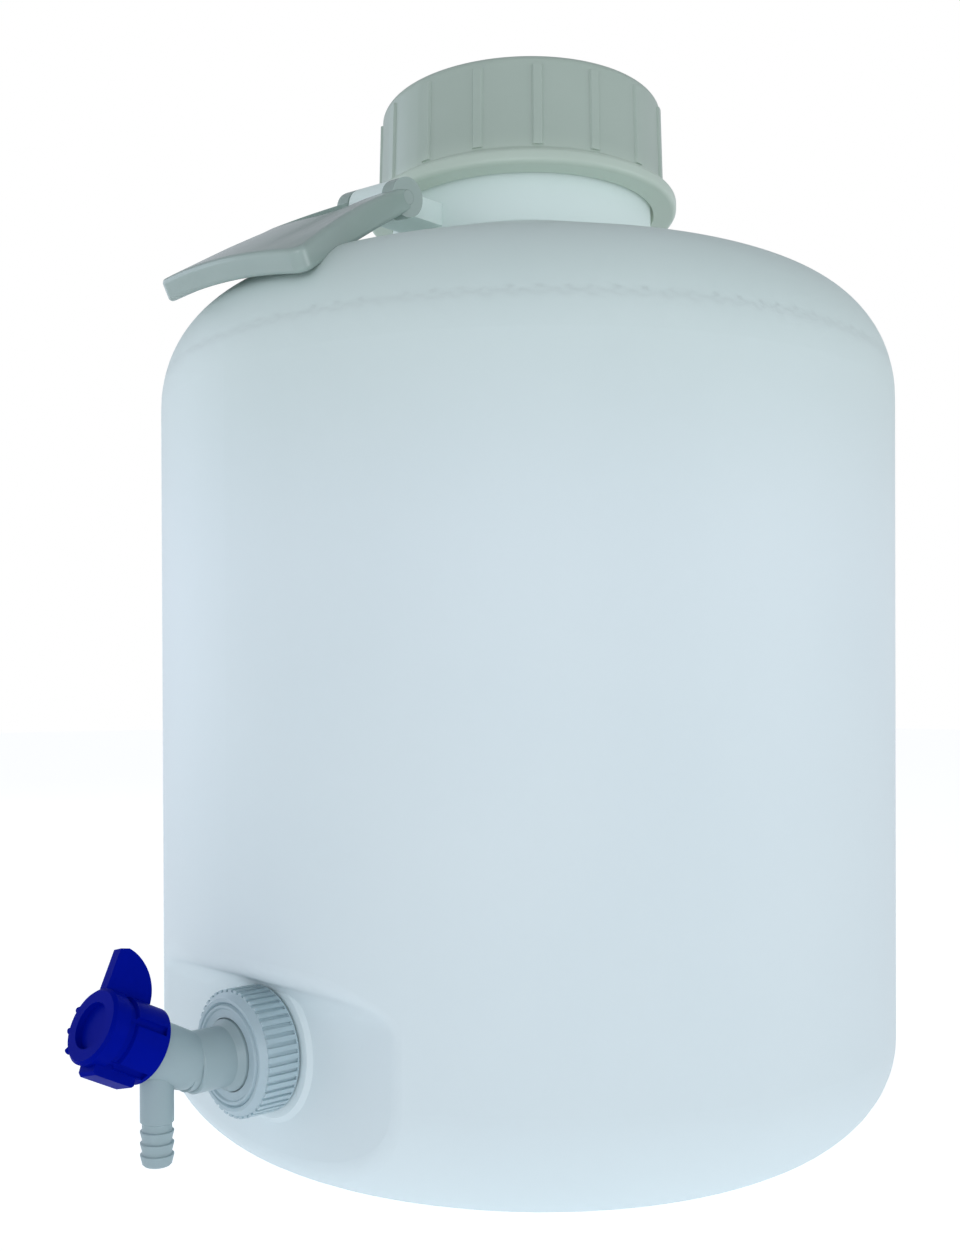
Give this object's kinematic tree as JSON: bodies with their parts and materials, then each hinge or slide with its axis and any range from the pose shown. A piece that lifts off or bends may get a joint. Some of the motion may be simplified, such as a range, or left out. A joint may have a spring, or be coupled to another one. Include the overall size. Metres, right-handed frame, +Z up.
{
  "type": "wide-mouth spigot bottle",
  "caption": "Round translucent bottle with a wide ribbed screw cap, a folding carry handle on the neck and a winged tap with a barbed spout near the base.",
  "frame": {"origin": "centre of the flat base, on the surface the bottle stands on", "axes": "+Z up along the bottle's axis; the tap and the carry handle point along -Y"},
  "size_m": [0.23, 0.2744, 0.3244],
  "materials": {
    "bottle_wall": "blown natural HDPE, translucent, satin",
    "cap_plastic": "moulded natural HDPE, satin",
    "handle_plastic": "moulded polypropylene, smooth",
    "tap_plastic": "moulded natural polypropylene, satin",
    "seal_rubber": "soft white gasket",
    "knob_plastic": "moulded blue polypropylene"
  },
  "bodies": {
    "bottle_body": {"bottle": "bottle_wall", "screw_cap": "cap_plastic", "hinge_pin": "tap_plastic", "port_seal": "seal_rubber", "union_nut": "tap_plastic", "tap_body": "tap_plastic"},
    "handle": {"carry_handle": "handle_plastic"},
    "knob": {"tap_knob": "knob_plastic"}
  },
  "joints": [
    {"name": "handle_fold", "type": "hinge", "parent": "bottle_body", "child": "handle", "pos_m": [0, -0.0603, 0.2818], "axis": [-0.9945, 0, 0.1045], "range_deg": [-2.5, 125]},
    {"name": "tap_turn", "type": "hinge", "parent": "bottle_body", "child": "knob", "pos_m": [0, -0.1292, 0.0419], "axis": [0, -0.891, 0.454], "range_deg": [0, 90]}
  ]
}
